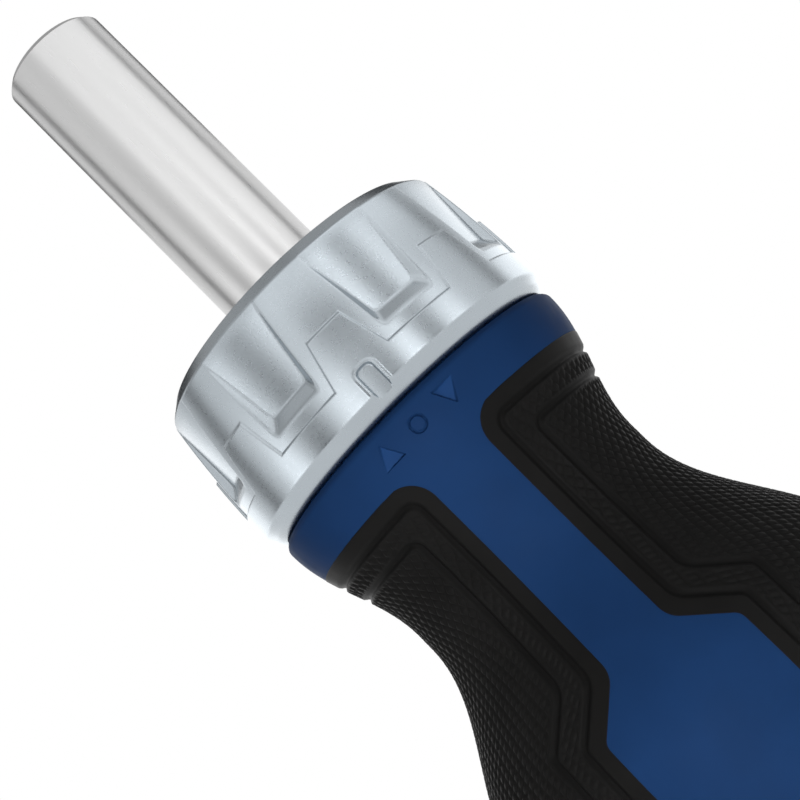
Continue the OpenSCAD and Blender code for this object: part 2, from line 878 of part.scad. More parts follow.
module crown_tooth(a) {
    lean = (crown_foot_w - crown_top_w) / 2 / (crown_top - crown_foot);
    base_w = crown_foot_w + 2 * lean * over;
    radial(a, front_r / 2, 2 * crest_r)
        polygon([
            [-base_w / 2, crown_z0 - over],
            [base_w / 2, crown_z0 - over],
            [crown_top_w / 2, collar_z0 + crown_top],
            [-crown_top_w / 2, collar_z0 + crown_top]
        ]);
}

module selector_collar() {
    pitch = 360 / flute_count;
    color([0.63, 0.66, 0.69])
        difference() {
            collar_body();
            difference() {
                collar_layer();
                for (i = [0:flute_count - 1])
                    crown_tooth(270 + i * pitch);
            }
            for (i = [0:flute_count - 1])
                flute(270 + (i + 1 / 2) * pitch);
            radial(270, crest_r - notch_depth, crest_r + over)
                polygon(concat(
                    [[notch_w / 2, collar_z0 - over]],
                    arc([0, collar_z0 + notch_len - notch_w / 2], notch_w / 2, 0, 180),
                    [[-notch_w / 2, collar_z0 - over]]
                ));
            rod(collar_in_r, collar_z0 - over, collar_in_z);
            rod(front_bush_r + free_gap, collar_in_z - over, collar_z1 + over);
            rod(ring_in_r + ring_w + free_gap / 2, ring_z0() - seat_gap, ring_z0() + ring_t + seat_gap);
            translate([-tab_w / 2 - seat_gap, -key_r, collar_z0 - over])
                cube([tab_w + 2 * seat_gap, 2 * key_r, cover_z0 - collar_z0 + over]);
            for (i = [-1:1])
                rotate([0, 0, 90 + i * click_a])
                    translate([0, 0, leaf_z0() - seat_gap])
                        linear_extrude(collar_in_z - leaf_z0() + seat_gap)
                            polygon([
                                [0, 0],
                                polar(collar_in_r, -5),
                                polar(collar_in_r + detent_depth, -2),
                                polar(collar_in_r + detent_depth, 2),
                                polar(collar_in_r, 5)
                            ]);
        }
}

// a flute: flat floor line, straight flanks that draw together, sloped end
module flute(a) {
    end_z = collar_z0 + flute_back;
    intersection() {
        radial(a, flute_r / 2, 2 * crest_r)
            polygon([
                [-flute_rear_w / 2, end_z],
                [flute_rear_w / 2, end_z],
                [flute_front_w / 2, collar_z1 + over],
                [-flute_front_w / 2, collar_z1 + over]
            ]);
        rotate_extrude()
            polygon([
                [flute_r, end_z + flute_slope],
                [crest_r + crest_r - flute_r, end_z - flute_slope],
                [2 * crest_r, end_z - flute_slope],
                [2 * crest_r, collar_z1 + over],
                [flute_r, collar_z1 + over]
            ]);
    }
}

// end cap with a rounded foot, a finger groove and a plug for the core
module end_cap() {
    foot_r = foot_d / 2;
    groove_z = core_z0 - pull_w;
    color([0.1, 0.1, 0.1])
        difference() {
            rotate_extrude()
                polygon(concat(
                    [[0, 0]],
                    [for (t = [0:9:90]) [lerp(foot_r, tail_r, sin(t)), foot_round * (1 - cos(t))]],
                    [
                        [tail_r, core_z0 - seat_gap],
                        [plug_r, core_z0 - seat_gap],
                        [plug_r, plug_z1],
                        [0, plug_z1]
                    ]
                ));
            rotate_extrude()
                polygon([
                    [tail_r - pull_depth, groove_z],
                    [tail_r + over, groove_z - pull_w / 2],
                    [tail_r + over, groove_z + pull_w / 2],
                    [tail_r - pull_depth, groove_z + pull_w / 4]
                ]);
            rod(plug_boss_r, core_z0, plug_z1 + over);
            ring(seal_r - seal_d / 2, mouth_r + over, seal_z - seal_d / 2, seal_z + seal_d / 2);
        }
}

module cap_seal() {
    color([0.06, 0.06, 0.07])
        rotate_extrude()
            translate([seal_r - seat_gap, seal_z])
                circle(d = seal_d - 2 * seat_gap);
}

module at_bit(i) {
    rotate([0, 0, i * 360 / bit_count])
        translate([bit_c, 0, 0])
            children();
}

// two opposite bits, turned so that the flats of neighbours face each other
module at_bits(first) {
    for (i = [first, first + bit_count / 2])
        at_bit(i)
            rotate([0, 0, 30])
                children();
}

// carrier: boss in the cap, six open slots for bits, guide with two keys
module bit_carrier() {
    slot_r = (bit_af / 2 + bit_gap) / cos(30);
    mouth_w = bit_af - bit_wall;
    color([0.16, 0.17, 0.18])
        difference() {
            union() {
                rod(plug_boss_r - seat_gap, core_z0 + seat_gap, plug_z1 + over);
                rod(carrier_r, plug_z1 + seat_gap, guide_z0 + over);
                rod(guide_r, guide_z0, guide_z1);
                guide_keys(guide_key_r, guide_key_w, guide_z0, guide_z1);
            }
            for (i = [0:bit_count - 1])
                at_bit(i)
                    translate([0, 0, bit_z0])
                        linear_extrude(bit_len + 2 * bit_gap)
                            union() {
                                rotate([0, 0, 30])
                                    circle(r = slot_r, $fn = 6);
                                translate([0, -mouth_w / 2])
                                    square([carrier_r, mouth_w]);
                            }
        }
}

// hex shank and round neck that every bit shares
module bit_shank() {
    neck_z0 = bit_z0 + bit_gap + bit_hex_len;
    hex_rod(bit_af, bit_z0 + bit_gap, neck_z0);
    rod(bit_af / 3, neck_z0 - over, bit_neck_z());
}

function bit_neck_z() = bit_z0 + bit_gap + (bit_hex_len + bit_len) / 2;
function bit_tip_z() = bit_z0 + bit_gap + bit_len - bit_gap;

module phillips_bits() {
    color([0.5, 0.5, 0.52])
        at_bits(0) {
            bit_shank();
            difference() {
                translate([0, 0, bit_neck_z() - seat_gap])
                    cylinder(r1 = bit_af / 3, r2 = bit_af / 12, h = bit_tip_z() - bit_neck_z());
                for (a = [45:90:315])
                    rotate([0, 0, a])
                        translate([bit_af / 12, -bit_af / 24, bit_neck_z() + seat_gap])
                            cube([bit_af, bit_af / 12, bit_len]);
            }
        }
}

module slotted_bits() {
    color([0.5, 0.5, 0.52])
        at_bits(1) {
            bit_shank();
            translate([-bit_af / 12, -bit_af / 3, bit_neck_z() - over])
                cube([bit_af / 6, 2 * bit_af / 3, bit_tip_z() - bit_neck_z() + over]);
        }
}

module hex_bits() {
    color([0.5, 0.5, 0.52])
        at_bits(2) {
            bit_shank();
            hex_rod(bit_af / 2, bit_neck_z() - over, bit_tip_z());
        }
}

handle_core();
left_grip();
right_grip();
ratchet_housing();
housing_cover();
cover_screws();
housing_screws();
pawl_pins();
front_bush();
rear_bush();
collar_ring();
wear_washer();
detent_leaf();
forward_spring();
reverse_spring();
stop_ring();
shaft();
ratchet_gear();
bit_magnet();
bit_clip();
shaft_circlip();
thrust_washer();
selector_collar();
selector_cam();
forward_pawl();
reverse_pawl();
end_cap();
bit_carrier();
cap_seal();
phillips_bits();
slotted_bits();
hex_bits();
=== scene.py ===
"""Ratcheting screwdriver: looks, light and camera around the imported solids.

Sizes are in millimetres and angles in degrees. Z runs from the butt to the tip, and the front faces -Y.
"""

import json
import math

import bpy
import numpy as np
from mathutils import Matrix, Vector


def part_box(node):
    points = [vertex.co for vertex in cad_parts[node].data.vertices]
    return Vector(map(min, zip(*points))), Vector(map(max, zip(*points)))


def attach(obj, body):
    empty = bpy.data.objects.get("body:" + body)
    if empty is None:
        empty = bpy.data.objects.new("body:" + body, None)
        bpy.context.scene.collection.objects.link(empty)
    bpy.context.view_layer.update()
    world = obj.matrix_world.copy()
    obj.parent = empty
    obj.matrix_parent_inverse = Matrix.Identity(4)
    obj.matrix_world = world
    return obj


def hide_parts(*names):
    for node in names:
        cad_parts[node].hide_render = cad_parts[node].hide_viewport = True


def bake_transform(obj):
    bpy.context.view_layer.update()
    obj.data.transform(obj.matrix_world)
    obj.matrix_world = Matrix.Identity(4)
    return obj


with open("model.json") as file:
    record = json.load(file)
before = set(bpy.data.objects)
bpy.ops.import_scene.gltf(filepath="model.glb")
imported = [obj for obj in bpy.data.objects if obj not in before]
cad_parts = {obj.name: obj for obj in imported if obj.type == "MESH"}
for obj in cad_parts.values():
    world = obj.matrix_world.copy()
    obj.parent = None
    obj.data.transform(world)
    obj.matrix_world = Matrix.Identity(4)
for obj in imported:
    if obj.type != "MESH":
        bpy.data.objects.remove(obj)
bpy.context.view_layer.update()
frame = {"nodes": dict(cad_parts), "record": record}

MM = 0.001


def heights(node):
    """Lowest and highest Z of a CAD node."""
    low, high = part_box(node)
    return low.z / MM, high.z / MM


def reach(node):
    """Greatest X and Y of a CAD node."""
    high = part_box(node)[1]
    return high.x / MM, high.y / MM


core_z0, core_z1 = heights("handle_core")
collar_z0, collar_z1 = heights("selector_collar")
grip_z0, grip_z1 = heights("right_grip")
cap_z0, plug_z1 = heights("end_cap")

# outline of the handle, from the neck behind the collar to the tail
neck_r = 15.68
neck_bevel = 0.8
neck_rim_r = 15.28
neck_rim_drop = 0.22
neck_rim_slope = 1.08
neck_rim_blend = 0.28
waist_r = 12.68
swell_r = reach("handle_core")[1]
tail_r = reach("end_cap")[0]
neck_z = core_z1 - neck_bevel
waist_z1 = core_z1 - 13.5
waist_z0 = core_z1 - 15.0
swell_z = core_z1 - 34.0

# inside of the core: mouth of the magazine, its bore, the screw chamber and the housing's pocket
mouth_wall = 2.6
mouth_r = tail_r - mouth_wall
bore_r = 12.62
bore_z1 = 57.4
chamber_r = 9.67
bulkhead_z = 82.65
pocket_r = 9.35
pocket_z = 85.65
axis_r = 0.3

# grip panels, seen from the front: a narrow spine, a flare and a wide panel between them
spine_half = 2.9
panel_half = 6.85
panel_z1 = core_z1 - 29.2
flare_rise = 0.86
flare_round = 0.75
panel_round = 0.35
grip_corner = 2.7
grip_proud = 0.03
grip_t = 1.5
seat_gap = 0.1
seat_start = 0.2
seat_soft = 0.5
edge_sink = 0.06
edge_slope = 3.0
edge_round = 0.22

# grooves and texture of the grips, by their distance from the edge
border_w = 1.2
groove_w = 0.85
band_w = 1.3
band_d = border_w + groove_w
groove_2_d = band_d + band_w
field_d = groove_2_d + groove_w
field_corner = groove_2_d + 1.3
groove_depth = 0.3
groove_soft = 0.4
band_soft = 0.2
# base colour of the grips' groove floors, darker by this factor: painted shade
groove_painted_shade = 0.72
knurl_across = 1.07
knurl_along = 1.25
knurl_depth = 0.17
knurl_line = 0.55

# marks moulded into the neck ring: triangle, ring, triangle
mark_z = core_z1 - 2.33
mark_a = 12.6
mark_half = 1.12
mark_h = 1.95
mark_line = 0.12
mark_wall = 4.0
# base colour of the triangles' floors, paler by this factor: painted highlight
mark_painted_highlight = 1.38
ring_r = 0.68
ring_line = 0.095
ring_edge = 1.3
ring_depth = 0.22

# selector collar: barrel, bevels, skirt and hollow
collar_len = collar_z1 - collar_z0
collar_crest_r = 16.17
collar_crest_z = 1.1
collar_fall_z = 13.3
collar_rear_r = 15.69
collar_nose_r = 14.0
rear_slope = 0.65
nose_slope = 1.136
skirt_len = 0.47
skirt_r = 14.95
hem_r = 15.13
hem_slope = 1.25
edge_blend = 0.14
collar_hole_r = 7.01
hole_bevel = 0.3
collar_bore_r = 13.72
collar_wall = 1.8

# crowned step line, flutes and pointer notch of the collar
crown_low = 3.4
crown_high = 7.75
crown_a0 = 12.4
crown_a1 = 16.2
crown_step = 0.2
crown_soft = 0.14
flute_count = 8
flute_pitch = 360 / flute_count
flute_rear = 4.6
flute_front = 13.4
flute_rear_a = 10.0
flute_front_a = 13.2
flute_floor_r = 15.29
flute_side_slope = 1.25
flute_rear_slope = 0.58
flute_blend = 0.12
flute_corner = 0.55
flute_lip = 0.16
flute_grain = 5.0
flute_grain_h = 0.1
notch_half = 0.78
notch_len = 3.35
notch_corner = 0.5
notch_floor_r = 16.0
notch_soft = 0.16
notch_lip = 0.09
notch_lip_w = 0.3

# end cap
foot_r = 11.0
foot_round = 6.0
pull_w = 3.0
pull_depth = 0.9
cap_gap = 0.05
cap_bevel = 0.2
plug_gap = 0.15
plug_bevel = 0.3
seal_d = 1.4
seal_z = (core_z0 + plug_z1) / 2
boss_r = 4.07

# fineness of the skins: strips and stretches, the pitch or count of points in each, and sharp angles
edge_strip = 0.8
edge_pitch = 0.06
edge_cols = 12
grip_pitch = 0.13
grip_cols = 340
seat_cols = 40
inset_steps = 60
neck_strip = 5.0
neck_pitch = 0.07
core_pitch = 0.22
core_turns = [0, 20, 36, 144, 165, 180]
core_turn_pitches = [0.26, 0.5, 4.0, 1.0, 3.0]
core_sharp = 40
collar_rows = [-skirt_len, 3.0, 6.4, 8.2, 12.9, collar_len]
collar_row_pitches = [0.1, 0.06, 0.09, 0.25, 0.07]
collar_turns = [0, 4.5, 5.6, 15.6, flute_pitch / 2]
collar_turn_pitches = [0.25, 0.4, 0.2, 0.6]
collar_sharp = 60
cap_cols = 192
foot_rows = 25
pull_rows = 33
cap_sharp = 35


def ease(a, b, t):
    """Cosine ease from a to b."""
    return a + (b - a) * (1 - np.cos(np.pi * np.clip(t, 0, 1))) / 2


def smooth_step(t):
    """0 below 0, 1 above 1, and a smooth rise between."""
    t = np.clip(t, 0, 1)
    return t * t * (3 - 2 * t)


def smooth_min(a, b, width):
    """The lower of two heights, with a rounded crease."""
    h = np.clip(0.5 + 0.5 * (b - a) / width, 0, 1)
    return b + (a - b) * h - width * h * (1 - h)


def stations(marks, pitches):
    """Places from the first mark to the last, about one pitch apart in each stretch."""
    places = [np.array([marks[0]])]
    for a, b, pitch in zip(marks, marks[1:], pitches):
        count = max(1, math.ceil(abs(b - a) / pitch))
        places.append(np.linspace(a, b, count + 1)[1:])
    return np.concatenate(places)


def core_r(z):
    """Radius of the handle's outline at a height."""
    upper = ease(waist_r, neck_r, (z - waist_z1) / (neck_z - waist_z1))
    middle = ease(swell_r, waist_r, (z - swell_z) / (waist_z0 - swell_z))
    lower = ease(tail_r, swell_r, (z - core_z0) / (swell_z - core_z0))
    return np.where(z >= waist_z0, upper, np.where(z >= swell_z, middle, lower))


def around(r, phi, z):
    """Points at a radius and an angle from the front, to the right."""
    r, phi, z = np.broadcast_arrays(r, phi, z)
    return np.stack([r * np.sin(phi), -r * np.cos(phi), z], -1)


def rings(outline, phi):
    """A stack of loops, one for each radius and height of an outline."""
    return np.stack([around(r, phi, z) for r, z in outline])


def grid_faces(rows, cols):
    """Quads between rows of points, each row a closed loop."""
    row, col = np.meshgrid(np.arange(rows - 1), np.arange(cols), indexing="ij")
    after = (col + 1) % cols
    corners = [row * cols + col, row * cols + after, (row + 1) * cols + after, (row + 1) * cols + col]
    return np.stack(corners, -1).reshape(-1, 4)


def skin(points):
    """Points and faces of a stack of closed loops, shut by one face at either end."""
    rows, cols = points.shape[:2]
    first = np.arange(cols)[::-1].reshape(1, -1)
    last = (np.arange(cols) + (rows - 1) * cols).reshape(1, -1)
    return points.reshape(-1, 3), [grid_faces(rows, cols), first, last]


def looped(points):
    """Points and faces of a ring: a stack of closed loops whose last meets its first."""
    rows, cols = points.shape[:2]
    faces = grid_faces(rows + 1, cols) % (rows * cols)
    return points.reshape(-1, 3), [faces]


def new_mesh(name, points, faces):
    """Smooth mesh from points and arrays of faces."""
    mesh = bpy.data.meshes.new(name)
    corners = np.concatenate([f.ravel() for f in faces]).astype(np.int32)
    sizes = np.concatenate([np.full(len(f), f.shape[1]) for f in faces]).astype(np.int32)
    mesh.vertices.add(len(points))
    mesh.vertices.foreach_set("co", (points * MM).astype(np.float32).ravel())
    mesh.loops.add(len(corners))
    mesh.loops.foreach_set("vertex_index", corners)
    mesh.polygons.add(len(sizes))
    mesh.polygons.foreach_set("loop_start", (np.cumsum(sizes) - sizes).astype(np.int32))
    mesh.polygons.foreach_set("use_smooth", np.ones(len(sizes), bool))
    mesh.update(calc_edges=True)
    mesh.validate()
    return mesh


def put(name, data):
    """A new object in the scene."""
    shape = bpy.data.objects.new(name, data)
    bpy.context.scene.collection.objects.link(shape)
    return shape


def piece(name, points, faces, body, node, slot, sharp=None, painted_light=None):
    """A mesh in place of a CAD node, with a slot's finish; painted light runs from -1, painted shade, to 1,
    painted highlight.
    """
    mesh = new_mesh(name, points, faces)
    if sharp is not None:
        mesh.set_sharp_from_angle(angle=math.radians(sharp))
    if painted_light is not None:
        values = mesh.attributes.new("painted_light", "FLOAT", "POINT")
        values.data.foreach_set("value", painted_light.astype(np.float32).ravel())
    mesh.materials.append(finishes[slot])
    shape = put(name, mesh)
    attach(shape, body)
    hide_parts(node)


# finishes: the range that most of a noise's values lie in, sizes of patches, and drifts of the gloss
noise_range = (0.3, 0.7)
noise_detail = 3.0
grain_detail = 1.0
tone_patch = 6.0
gloss_patch = 1.5
metal_patch = 2.0
gloss_grains = 2
metal_specular = 0.5
moulded_gloss = 0.04
worked_gloss = 0.03
blasted_gloss = 0.012


def combine(tree, operation, a, b, clamp=False):
    """Result of a sum or another operation on two sockets."""
    node = tree.nodes.new("ShaderNodeMath")
    node.operation = operation
    node.use_clamp = clamp
    tree.links.new(a, node.inputs[0])
    tree.links.new(b, node.inputs[1])
    return node.outputs["Value"]


def map_range(tree, value, source, target, curve="LINEAR"):
    """A value carried from one range into another and held there."""
    node = tree.nodes.new("ShaderNodeMapRange")
    node.interpolation_type = curve
    node.inputs["From Min"].default_value = source[0]
    node.inputs["From Max"].default_value = source[1]
    node.inputs["To Min"].default_value = target[0]
    node.inputs["To Max"].default_value = target[1]
    tree.links.new(value, node.inputs["Value"])
    return node.outputs["Result"]


def length(tree, vector):
    """Length of a vector."""
    node = tree.nodes.new("ShaderNodeVectorMath")
    node.operation = "LENGTH"
    tree.links.new(vector, node.inputs[0])
    return node.outputs["Value"]


def tinted(colour, factor):
    """A colour made darker or paler by a factor."""
    return [c * factor for c in colour] + [1.0]


def new_finish(name, roughness, metallic, specular):
    """A material, its node tree and its surface shader, with the plain values set."""
    material = bpy.data.materials.new(name)
    material.use_nodes = True
    surface = material.node_tree.nodes["Principled BSDF"]
    surface.inputs["Roughness"].default_value = roughness
    surface.inputs["Metallic"].default_value = metallic
    surface.inputs["Specular IOR Level"].default_value = specular
    return material, material.node_tree, surface


def noise(tree, size, stretch=1.0, detail=noise_detail):
    """Noise with features of about one size, drawn out along Z by a factor."""
    place = tree.nodes.new("ShaderNodeTexCoord")
    scale = tree.nodes.new("ShaderNodeMapping")
    cloud = tree.nodes.new("ShaderNodeTexNoise")
    scale.inputs["Scale"].default_value = (1.0, 1.0, 1.0 / stretch)
    cloud.inputs["Scale"].default_value = 1.0 / (size * MM)
    cloud.inputs["Detail"].default_value = detail
    tree.links.new(place.outputs["Object"], scale.inputs["Vector"])
    tree.links.new(scale.outputs["Vector"], cloud.inputs["Vector"])
    return cloud.outputs["Fac"]


def shade(tree, surface, value, colour, spread):
    """Base colour that drifts a little about its mean with a noise value."""
    ramp = tree.nodes.new("ShaderNodeValToRGB")
    ends = ramp.color_ramp.elements
    ends[0].position = noise_range[0]
    ends[1].position = noise_range[1]
    ends[0].color = tinted(colour, 1 - spread)
    ends[1].color = tinted(colour, 1 + spread)
    tree.links.new(value, ramp.inputs["Fac"])
    tree.links.new(ramp.outputs["Color"], surface.inputs["Base Color"])
    return ramp


def gloss(tree, surface, value, roughness, spread):
    """Roughness that drifts about its mean with a noise value."""
    drift = map_range(tree, value, noise_range, (roughness - spread, roughness + spread))
    tree.links.new(drift, surface.inputs["Roughness"])


def grain(tree, surface, value, depth):
    """Relief from a height value, as deep as said where that is 1."""
    bump = tree.nodes.new("ShaderNodeBump")
    bump.inputs["Strength"].default_value = 1.0
    bump.inputs["Distance"].default_value = depth * MM
    tree.links.new(value, bump.inputs["Height"])
    tree.links.new(bump.outputs["Normal"], surface.inputs["Normal"])


def moulded(name, colour, spread, roughness, specular, grain_size, grain_depth):
    """Moulded plastic or rubber: a colour that drifts a little, with painted shade and painted highlight
    where the piece asks for them, and a fine grain.
    """
    material, tree, surface = new_finish(name, roughness, 0.0, specular)
    # painted light: a per-point attribute darkens the grips' groove floors as painted shade and pales the
    # triangles' floors as painted highlight
    painted_light = tree.nodes.new("ShaderNodeAttribute")
    painted_light.attribute_name = "painted_light"
    drift = map_range(tree, noise(tree, tone_patch), noise_range, noise_range)
    total = combine(tree, "ADD", drift, painted_light.outputs["Fac"], clamp=True)
    ramp = shade(tree, surface, total, colour, spread)
    # painted shade at the dark end of the ramp, painted highlight at the pale end
    ramp.color_ramp.elements.new(0.0).color = tinted(colour, groove_painted_shade)
    ramp.color_ramp.elements.new(1.0).color = tinted(colour, mark_painted_highlight)
    gloss(tree, surface, noise(tree, gloss_patch), roughness, moulded_gloss)
    grain(tree, surface, noise(tree, grain_size), grain_depth)
    return material


def worked(name, colour, spread, roughness, grain_size, grain_depth, stretch=1.0):
    """Worked metal: a colour that drifts a little, uneven gloss and a fine grain, all drawn out along Z by a
    factor.
    """
    material, tree, surface = new_finish(name, roughness, 1.0, metal_specular)
    shade(tree, surface, noise(tree, metal_patch, stretch), colour, spread)
    gloss(tree, surface, noise(tree, gloss_grains * grain_size, stretch), roughness, worked_gloss)
    grain(tree, surface, noise(tree, grain_size, stretch, grain_detail), grain_depth)
    return material


def flute_depth(tree):
    """1 on the lands of the collar, rising to the floors' own depth of grain."""
    place = tree.nodes.new("ShaderNodeTexCoord")
    flat = tree.nodes.new("ShaderNodeVectorMath")
    flat.operation = "MULTIPLY"
    flat.inputs[1].default_value = (1.0, 1.0, 0.0)
    tree.links.new(place.outputs["Object"], flat.inputs[0])
    radius = length(tree, flat.outputs["Vector"])
    walls = ((flute_floor_r + flute_grain_h) * MM, flute_floor_r * MM)
    return map_range(tree, radius, walls, (1.0, flute_grain))


def blasted(name, colour, spread, roughness, grain_size, grain_depth):
    """Cast and blasted metal, with a deeper grain down in the floors of the flutes."""
    material, tree, surface = new_finish(name, roughness, 1.0, metal_specular)
    shade(tree, surface, noise(tree, metal_patch), colour, spread)
    gloss(tree, surface, noise(tree, gloss_grains * grain_size), roughness, blasted_gloss)
    pits = noise(tree, grain_size, detail=grain_detail)
    grain(tree, surface, combine(tree, "MULTIPLY", flute_depth(tree), pits), grain_depth)
    return material


# colour, spread of the tone, roughness, specular level, size and depth of the grain
moulded_slots = {
    "blue_core": ((0.0112, 0.0395, 0.123), 0.07, 0.5, 0.015, 0.12, 0.006),
    "black_grip": ((0.0105, 0.0103, 0.0101), 0.12, 0.46, 0.03, 0.1, 0.006),
    "black_washer": ((0.008, 0.009, 0.012), 0.1, 0.55, 0.12, 0.1, 0.004),
    "pale_washer": ((0.72, 0.71, 0.67), 0.03, 0.45, 0.3, 0.2, 0.004),
    "black_cap": ((0.0105, 0.0105, 0.011), 0.1, 0.48, 0.18, 0.14, 0.006),
    "carrier_plastic": ((0.02, 0.021, 0.023), 0.08, 0.42, 0.25, 0.14, 0.005),
    "seal_rubber": ((0.006, 0.006, 0.007), 0.1, 0.4, 0.2, 0.12, 0.003),
}

# colour, spread of the tone, roughness, size and depth of the grain, and how far it is drawn out
worked_slots = {
    "cast_housing": ((0.34, 0.34, 0.35), 0.06, 0.45, 0.25, 0.012),
    "screw_steel": ((0.42, 0.42, 0.44), 0.05, 0.3, 0.15, 0.004),
    "hard_steel": ((0.3, 0.3, 0.32), 0.06, 0.34, 0.12, 0.004),
    "bronze": ((0.5, 0.3, 0.14), 0.08, 0.38, 0.2, 0.006),
    "spring_steel": ((0.48, 0.48, 0.5), 0.05, 0.25, 0.1, 0.003),
    "shaft_steel": ((0.56, 0.56, 0.56), 0.015, 0.3, 0.08, 0.0006, 14.0),
    "magnet": ((0.4, 0.4, 0.42), 0.05, 0.3, 0.15, 0.004),
    "bit_steel": ((0.36, 0.37, 0.39), 0.06, 0.32, 0.14, 0.004),
}

# colour, spread of the tone, roughness, size and depth of the grain
blasted_slots = {
    "collar_metal": ((0.44, 0.485, 0.52), 0.015, 0.28, 0.17, 0.0012),
}

finishes = {slot: moulded(slot, *looks) for slot, looks in moulded_slots.items()}
finishes.update({slot: worked(slot, *looks) for slot, looks in worked_slots.items()})
finishes.update({slot: blasted(slot, *looks) for slot, looks in blasted_slots.items()})


def dress_solids():
    """The CAD nodes take the finish of their slots."""
    for row in frame["record"]["subparts"]:
        for place in frame["nodes"][row["node"]].material_slots:
            place.material = finishes[row["material_slot"]]


# grips


def grip_inset(x, z, corner_r=grip_corner):
    """How far a point lies inside the outline of a grip with round corners, seen from the front."""
    slant = (flare_rise * (x - panel_half) + z - panel_z1) / math.hypot(flare_rise, 1)
    panel = -smooth_min(-slant, panel_half - x, panel_round)
    side = smooth_min(x - spine_half, panel, flare_round)
    end = np.minimum(z - grip_z0, grip_z1 - z)
    corner = corner_r - np.hypot(corner_r - side, corner_r - end)
    round_here = (side < corner_r) & (end < corner_r)
    return np.where(round_here, corner, np.minimum(side, end))


def grip_side_x(z):
    """X of a grip's outline at a height: starts inside and steps until the inset is nought."""
    x = np.full_like(z, panel_half + grip_corner)
    for _ in range(inset_steps):
        x = x - grip_inset(x, z)
    return x


def stretch_between(d, a, b, soft):
    """1 between two insets and 0 outside them, with soft ends."""
    return smooth_step(np.minimum(d - a, b - d) / soft)


def knurl(across, along):
    """1 on the pads of a diamond lattice and 0 in the lines between them."""
    u = across / knurl_across + along / knurl_along
    v = across / knurl_across - along / knurl_along
    line = np.minimum(abs(u - np.round(u)), abs(v - np.round(v))) * 2
    return smooth_step(line / knurl_line)


def grip_grooves(x, z):
    """1 on the floors of both grooves and 0 outside them; the inner one has its own corner."""
    outer = stretch_between(grip_inset(x, z), border_w, band_d, groove_soft)
    inner = stretch_between(grip_inset(x, z, field_corner), groove_2_d, field_d, groove_soft)
    return outer + inner


def grip_texture(x, z):
    """1 on the textured band and field and 0 outside them."""
    field = grip_inset(x, z, field_corner)
    band = np.minimum(grip_inset(x, z) - band_d, groove_2_d - field)
    return smooth_step(band / band_soft) + smooth_step((field - field_d) / band_soft)


def grip_height(r, phi, z, run):
    """Height of a grip's face over the handle's outline."""
    x = r * np.sin(phi)
    pads = knurl(r * (math.pi / 2 - phi), run)
    face = grip_proud - groove_depth * grip_grooves(x, z) - knurl_depth * grip_texture(x, z) * (1 - pads)
    return smooth_min(edge_slope * grip_inset(x, z) - edge_sink, face, edge_round)


def grip_angles(start, r):
    """Angles across a grip's face, from its front edge to its back edge, closest at both."""
    near = np.linspace(0, edge_strip, edge_cols)[None, :] / r + start
    share = np.linspace(0, 1, grip_cols)[None, 1:-1]
    middle = near[:, -1:] + (math.pi - 2 * near[:, -1:]) * share
    return np.concatenate([near, middle, math.pi - near[:, ::-1]], 1)


def grip_shell():
    """Loops of the right grip, its face and its seat back again, and the painted light of their points:
    painted shade down in the grooves.
    """
    z = stations(
        [grip_z0, grip_z0 + edge_strip, grip_z1 - edge_strip, grip_z1],
        [edge_pitch, grip_pitch, edge_pitch],
    )
    r = core_r(z)
    run = np.concatenate([[0], np.cumsum(np.hypot(np.diff(z), np.diff(r)))])[:, None]
    start = np.arcsin(grip_side_x(z) / r)[:, None]
    z = z[:, None]
    r = r[:, None]
    phi = grip_angles(start, r)
    face = r + grip_height(r, phi, z, run)
    seat_phi = start + (math.pi - 2 * start) * np.linspace(1, 0, seat_cols)[None, :]
    seat = r - grip_t + seat_gap + 0 * seat_phi
    # painted shade: the floors of both grooves get a darker base colour
    painted_light = -grip_grooves(r * np.sin(phi), z)
    points = np.concatenate([around(face, phi, z), around(seat, seat_phi, z)], 1)
    return points, np.concatenate([painted_light, 0 * seat], 1)


def make_grips():
    """Both grips: the left one mirrors the right one."""
    right, painted_light = grip_shell()
    left = right[:, ::-1] * np.array([-1, 1, 1])
    piece("right_grip_skin", *skin(right), "handle", "right_grip", "black_grip", painted_light=painted_light)
    piece("left_grip_skin", *skin(left), "handle", "left_grip", "black_grip", painted_light=painted_light[:, ::-1])


# core


def triangle_inset(phi, z, a, up):
    """How far a point of the neck ring lies inside the triangle at an angle, which points up or down."""
    x = (phi - math.radians(a)) * neck_r
    h = (z - mark_z) * up
    tilt = math.hypot(mark_h, mark_half)
    side = (mark_h * abs(x) + mark_half * (h - mark_h / 2)) / tilt
    base = -h - mark_h / 2
    return -np.maximum(side, base)


def triangle_mark(phi, z, r, a, up):
    """Depth of a triangle pressed straight in from the front: a flat floor, deepest toward the middle."""
    inset = triangle_inset(phi, z, a, up)
    far_edge = math.radians(abs(a)) + mark_half / neck_r
    floor = mark_line / mark_wall + r * (1 - math.cos(far_edge) / np.cos(phi))
    return np.maximum(np.minimum(floor, mark_wall * inset), 0)


def near_marks(phi, z):
    """Whether a point lies where the marks are, and not elsewhere around the core."""
    return (abs(phi) < math.radians(2 * mark_a)) & (abs(z - mark_z) < mark_h)


def triangle_marks(phi, z, r):
    """Depth of both triangles on the neck ring."""
    depth = triangle_mark(phi, z, r, -mark_a, 1) + triangle_mark(phi, z, r, mark_a, -1)
    return np.where(near_marks(phi, z), depth, 0)


def mark_floors(phi, z):
    """1 on the floors of the triangles and 0 elsewhere, with a soft edge; it marks where a painted highlight
    pales them.
    """
    inset = np.maximum(triangle_inset(phi, z, -mark_a, 1), triangle_inset(phi, z, mark_a, -1))
    return np.where(near_marks(phi, z), smooth_step(inset / mark_line), 0)


